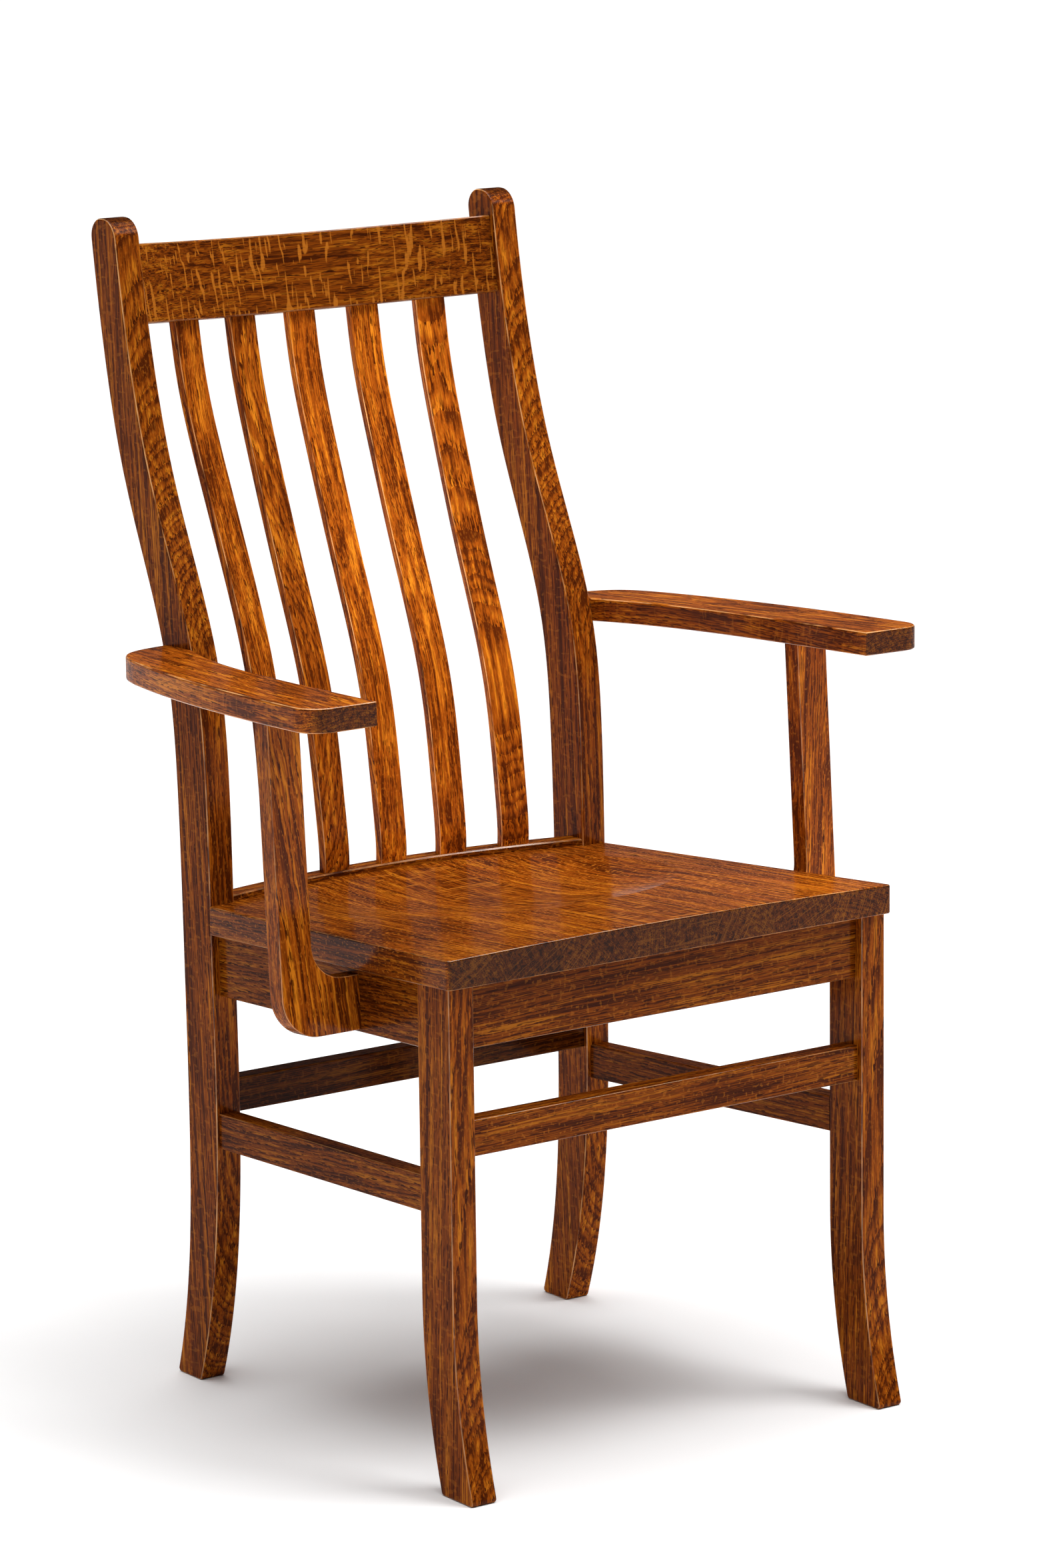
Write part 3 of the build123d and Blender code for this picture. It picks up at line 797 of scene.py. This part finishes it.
@dataclass
class BackFrame(Joinery):
    """The rear posts, the crest rail, the rear rail and the slats.

    Attributes:
        post_tones: how light each post is, left then right; the right one is lighter as painted light, for
            the light on the chair's right side.
        slat_tones: how light each slat is, from the left; raised well above the other pieces, partly as
            painted light for the key light on the slats.
        slat_cuts: how each slat was sawn.
        slat_pith: how far the slats' stock lies from the pith, in metres.
        slat_pith_step: how much further for each slat, in metres.
        slat_lean: how far the slats' stock leans back, in degrees.
        crest_lean: how far the crest rail leans back, in degrees.
    """

    post_tones: tuple[float, float] = (0.92, 1.15)
    slat_tones: tuple[float, ...] = (1.45, 1.4, 1.9, 1.95, 1.85)
    slat_cuts: tuple[Cut, ...] = (Cut.RIFT, Cut.PLAIN, Cut.RIFT, Cut.RIFT, Cut.PLAIN)
    slat_pith: float = 0.09
    slat_pith_step: float = 0.013
    slat_lean: float = 14.6
    crest_lean: float = 10.3

    def build(self, nodes: dict[str, bpy.types.Object], finish: LacqueredOak) -> None:
        """Dresses the back.

        Args:
            nodes: the frame's pieces by name.
            finish: its stain and lacquer.
        """
        for side, tone in zip(Side, self.post_tones):
            post = Board(grain=(0.0, 0.06, 1.0), radial=(0.55, 1.0, 0.0), cut=Cut.RIFT, pith=0.10,
                         tone=tone, rays=0.45, rings=0.7, spacing=0.0031, wear_and_highlight=1.0)
            self.dress(nodes, f"rear_post_{side.word}", post, finish)
        lean = radians(self.crest_lean)
        crest = Board(grain=(1.0, 0.0, 0.012), radial=(0.0, sin(lean), cos(lean)), pith=0.13,
                      arris=Arris.UPRIGHT, tone=0.72, rings=0.35, spacing=0.0018)
        self.dress(nodes, "crest_rail", crest, finish)
        rail = Board(grain=(1.0, 0.0, 0.0), radial=(0.0, 0.3, 1.0), cut=Cut.RIFT, pith=0.10,
                     arris=Arris.UPRIGHT, tone=0.8)
        self.dress(nodes, "rear_rail", rail, finish)
        lean = radians(self.slat_lean)
        for number, (tone, cut) in enumerate(zip(self.slat_tones, self.slat_cuts), 1):
            pith = self.slat_pith + self.slat_pith_step * number
            slat = Board(grain=(0.0, sin(lean), cos(lean)), radial=(1.0, 0.0, 0.0), cut=cut, pith=pith,
                         tone=tone, rays=0.35, rings=0.55, spacing=0.0024, wear_and_highlight=1.0)
            self.dress(nodes, f"back_slat_{number}", slat, finish)


@dataclass
class Seat(Joinery):
    """The six glued staves.

    Attributes:
        ring_turns: for each stave, how its rays stand at the front edge, in degrees above level.
        tones: how light each stave is, rising stave by stave: partly the staves' own tones, partly painted
            light across the seat.
        pith: how far the staves' stock lies from the pith, in metres.
        pith_step: how much further for each stave, in metres.
    """

    ring_turns: tuple[float, ...] = (35.0, 50.0, 6.0, 62.0, 28.0, 75.0)
    tones: tuple[float, ...] = (0.76, 0.88, 0.9, 1.02, 1.15, 1.3)
    pith: float = 0.08
    pith_step: float = 0.012

    def build(self, nodes: dict[str, bpy.types.Object], finish: LacqueredOak) -> None:
        """Dresses the seat.

        Args:
            nodes: the frame's pieces by name.
            finish: its stain and lacquer.
        """
        for number, (turn, tone) in enumerate(zip(self.ring_turns, self.tones), 1):
            out = (cos(radians(turn)), 0.0, sin(radians(turn)))
            stave = Board(grain=(0.02, 1.0, -0.06), radial=out, pith=self.pith + self.pith_step * number,
                          arris=Arris.UPRIGHT, tone=tone, rays=0.55, rings=0.5, spacing=0.0027, wear_and_highlight=0.55)
            self.dress(nodes, f"seat_stave_{number}", stave, finish)


@dataclass
class Arms(Joinery):
    """The arms and the J-shaped supports under them.

    Attributes:
        arm_tone: how light the arms are, raised partly as painted light for their lit tops.
        support_tones: how light each support is, left then right; the right one is much lighter as painted
            light, for the light on the chair's right side.
    """

    arm_tone: float = 1.2
    support_tones: tuple[float, float] = (1.15, 1.7)

    def build(self, nodes: dict[str, bpy.types.Object], finish: LacqueredOak) -> None:
        """Dresses both sides.

        Args:
            nodes: the frame's pieces by name.
            finish: its stain and lacquer.
        """
        for side, support_tone in zip(Side, self.support_tones):
            arm = Board(grain=(0.13 * side.value, -1.0, 0.0), radial=(0.6, 0.0, 1.0), cut=Cut.RIFT,
                        pith=0.09, arris=Arris.UPRIGHT, tone=self.arm_tone, rays=0.4, spacing=0.0022,
                        wear_and_highlight=0.9)
            self.dress(nodes, f"arm_{side.word}", arm, finish)
            support = Board(grain=(0.10 * side.value, 0.06, 1.0), radial=(1.0, 0.5, 0.0), cut=Cut.RIFT,
                            pith=0.12, arris=Arris.FORWARD, tone=support_tone, rays=0.5, spacing=0.002)
            self.dress(nodes, f"arm_support_{side.word}", support, finish)


@dataclass
class Base(Joinery):
    """The front legs, the aprons, the stretchers and the hidden corner blocks.

    Attributes:
        leg_tones: how light each front leg is, left then right.
        apron_tone: how light the aprons are, darkened as painted shade for the seat's shade over them.
        stretcher_tone: how light the front and side stretchers are, darkened partly as painted shade for
            the shade under the seat.
        rear_tone: how light the rear stretcher is, darkened far below the rest as painted shade for the
            deep shade it hangs in.
        block_tone: how light the corner blocks are.
    """

    leg_tones: tuple[float, float] = (0.9, 0.92)
    apron_tone: float = 0.64
    stretcher_tone: float = 0.7
    rear_tone: float = 0.3
    block_tone: float = 0.6

    def build(self, nodes: dict[str, bpy.types.Object], finish: LacqueredOak) -> None:
        """Dresses the base.

        Args:
            nodes: the frame's pieces by name.
            finish: its stain and lacquer.
        """
        for side, tone in zip(Side, self.leg_tones):
            leg = Board(grain=(0.0, -0.03, 1.0), radial=(0.5, 1.0, 0.0), cut=Cut.RIFT, pith=0.10,
                        tone=tone, rays=0.4, rings=0.7, spacing=0.0028, wear_and_highlight=0.6)
            self.dress(nodes, f"front_leg_{side.word}", leg, finish)
            rails = (("side_apron", self.apron_tone), ("side_stretcher", self.stretcher_tone))
            for name, rail_tone in rails:
                rail = Board(grain=(0.0, 1.0, -0.05), radial=(0.3, 0.0, 1.0), cut=Cut.RIFT, pith=0.10,
                             arris=Arris.UPRIGHT, tone=rail_tone, rays=0.5, spacing=0.0022)
                self.dress(nodes, f"{name}_{side.word}", rail, finish)
            for end, slope in (("front", 1.0), ("rear", -1.0)):
                block = Board(grain=(side.value, slope, 0.0), radial=(0.0, 0.0, 1.0), cut=Cut.PLAIN,
                              pith=0.07, arris=Arris.UPRIGHT, tone=self.block_tone, rays=0.4)
                self.dress(nodes, f"{end}_corner_block_{side.word}", block, finish)
        for name, tone in (("front_apron", self.apron_tone), ("front_stretcher", self.stretcher_tone),
                           ("rear_stretcher", self.rear_tone)):
            rail = Board(grain=(1.0, 0.0, 0.02), radial=(0.0, 0.35, 1.0), cut=Cut.RIFT, pith=0.12,
                         arris=Arris.UPRIGHT, tone=tone, rays=0.7, spacing=0.0022)
            self.dress(nodes, name, rail, finish)


@dataclass
class Fastenings(Joinery):
    """Dowels and screws, nearly all of them out of sight inside the joints.

    Attributes:
        dowel_tone: how light the dowels are.
    """

    dowel_tone: float = 1.5

    def build(self, nodes: dict[str, bpy.types.Object], finish: LacqueredOak) -> None:
        """Dresses the dowels and the screws.

        Args:
            nodes: the frame's pieces by name.
            finish: for the dowels.
        """
        for name, way in (("arm_post_dowels", (1.0, 0.0, 0.0)), ("arm_support_dowels", (0.0, 0.0, 1.0))):
            dowel = Board(grain=way, radial=(0.0, 1.0, 0.0), cut=Cut.PLAIN, pith=0.05,
                          tone=self.dowel_tone, rays=0.2, wear_and_highlight=0.0)
            self.dress(nodes, name, dowel, finish)
        zinc = ZincPlate().material()
        for name in ("block_screws", "seat_screws", "support_screws"):
            self.paint(nodes[name], zinc)
            log.info("%s: zinc plate", name)


# ---------------------------------------------------------------- studio
@dataclass
class Softbox:
    """One large soft light.

    Attributes:
        name: what it is for.
        place: where it hangs, in metres.
        size: its width and height.
        power: in watts.
    """

    name: str
    place: Triple
    size: tuple[float, float]
    power: float

    def hang(self, target: Vector) -> None:
        """Hangs the light, facing the target.

        Args:
            target: what it faces.
        """
        data = bpy.data.lights.new(self.name, "AREA")
        data.shape = "RECTANGLE"
        data.size, data.size_y = self.size
        data.energy = self.power
        lamp = bpy.data.objects.new(self.name, data)
        lamp.location = self.place
        lamp.rotation_euler = (target - Vector(self.place)).to_track_quat("-Z", "Y").to_euler()
        bpy.context.scene.collection.objects.link(lamp)


@dataclass
class Skylight:
    """Soft light from straight overhead.

    Attributes:
        strength: in watts per square metre.
        spread: how wide it looks, in degrees.
    """

    strength: float = 3.3
    spread: float = 70.0

    def hang(self) -> None:
        """Hangs the light straight over the chair."""
        data = bpy.data.lights.new("skylight", "SUN")
        data.energy = self.strength
        data.angle = radians(self.spread)
        bpy.context.scene.collection.objects.link(bpy.data.objects.new("skylight", data))


@dataclass
class Studio:
    """A pale floor, soft light and the camera.

    Attributes:
        floor_side: side of the floor, in metres.
        floor_colour: its colour.
        floor_roughness: how dull it is.
        floor_gloss: how strong its reflection is.
        daylight: strength of the light from all round.
        camera_place: where the camera stands, in metres.
        heading: which way it looks, in degrees from the chair's front-to-back line.
        dip: how far it looks down, in degrees.
        roll: how far it leans, in degrees.
        sensor: the sensor's long side, in millimetres.
        lens: focal length, in millimetres.
    """

    floor_side: float = 160.0
    floor_colour: Colour = (0.93, 0.93, 0.93, 1.0)
    floor_roughness: float = 0.9
    floor_gloss: float = 0.1
    daylight: float = 0.12
    camera_place: Triple = (-2.7756, -3.9188, 1.4889)
    heading: float = 35.716
    dip: float = 11.281
    roll: float = -0.705
    sensor: float = 36.0
    lens: float = 129.97
    lights: tuple[Softbox, ...] = (
        Softbox("key", (1.6, -2.0, 4.0), (2.0, 2.0), 100.0),
        Softbox("fill", (-3.2, -1.2, 1.6), (1.4, 2.4), 4.0),
    )

    def build(self, target: Vector) -> None:
        """Builds the studio round the chair.

        Args:
            target: the chair's middle.
        """
        self.lay_floor()
        self.set_world()
        for lamp in self.lights:
            lamp.hang(target)
        Skylight().hang()
        self.set_camera()
        bpy.context.scene.view_settings.view_transform = "Standard"
        log.info("studio: floor, %d lights and camera", len(self.lights) + 1)

    def lay_floor(self) -> None:
        """Lays one wide pale sheet at floor level."""
        mesh = bpy.data.meshes.new("floor")
        grid = bmesh.new()
        bmesh.ops.create_grid(grid, x_segments=2, y_segments=2, size=self.floor_side / 2)
        grid.to_mesh(mesh)
        grid.free()
        floor = bpy.data.objects.new("floor", mesh)
        bpy.context.scene.collection.objects.link(floor)
        made = bpy.data.materials.new("pale_floor")
        made.use_nodes = True
        tree = Tree(made.node_tree)
        surface = made.node_tree.nodes["Principled BSDF"]
        where = tree.node("TexCoord").outputs["Object"]
        dust = PaleDust().place(tree, Place=where, Clean=self.floor_colour)
        tree.feed(surface.inputs["Base Color"], dust.outputs["Color"])
        surface.inputs["Roughness"].default_value = self.floor_roughness
        surface.inputs["Specular IOR Level"].default_value = self.floor_gloss
        mesh.materials.append(made)
        floor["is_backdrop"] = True

    def set_world(self) -> None:
        """Fills the studio with even white light."""
        world = bpy.data.worlds.new("studio")
        world.use_nodes = True
        light = world.node_tree.nodes["Background"]
        light.inputs["Color"].default_value = (1.0, 1.0, 1.0, 1.0)
        light.inputs["Strength"].default_value = self.daylight
        bpy.context.scene.world = world

    def set_camera(self) -> None:
        """Stands the camera at the front left, a little above the chair."""
        heading, dip, roll = radians(self.heading), radians(self.dip), radians(self.roll)
        ahead = Vector((sin(heading) * cos(dip), cos(heading) * cos(dip), -sin(dip)))
        level = Vector((cos(heading), -sin(heading), 0.0))
        above = level.cross(ahead)
        right = cos(roll) * level + sin(roll) * above
        up = -sin(roll) * level + cos(roll) * above
        data = bpy.data.cameras.new("camera")
        data.sensor_width = self.sensor
        data.lens = self.lens
        data.clip_end = self.floor_side
        camera = bpy.data.objects.new("camera", data)
        turn = Matrix((right, up, -ahead)).transposed().to_4x4()
        camera.matrix_world = Matrix.Translation(self.camera_place) @ turn
        bpy.context.scene.collection.objects.link(camera)
        bpy.context.scene.camera = camera


def main() -> None:
    """Loads the frame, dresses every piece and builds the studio."""
    logging.basicConfig(level=logging.INFO, format="%(name)s: %(message)s")
    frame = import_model()
    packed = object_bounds()
    nodes = frame["nodes"]
    oak = LacqueredOak()
    handled = replace(oak, coat=0.22)   # seat and arms are polished by use
    for assembly in (BackFrame(), Base(), Fastenings()):
        assembly.build(nodes, oak)
    for assembly in (Seat(), Arms()):
        assembly.build(nodes, handled)
    Studio().build((packed[0] + packed[1]) / 2)
    bpy.context.view_layer.update()


if __name__ == "__main__":
    main()
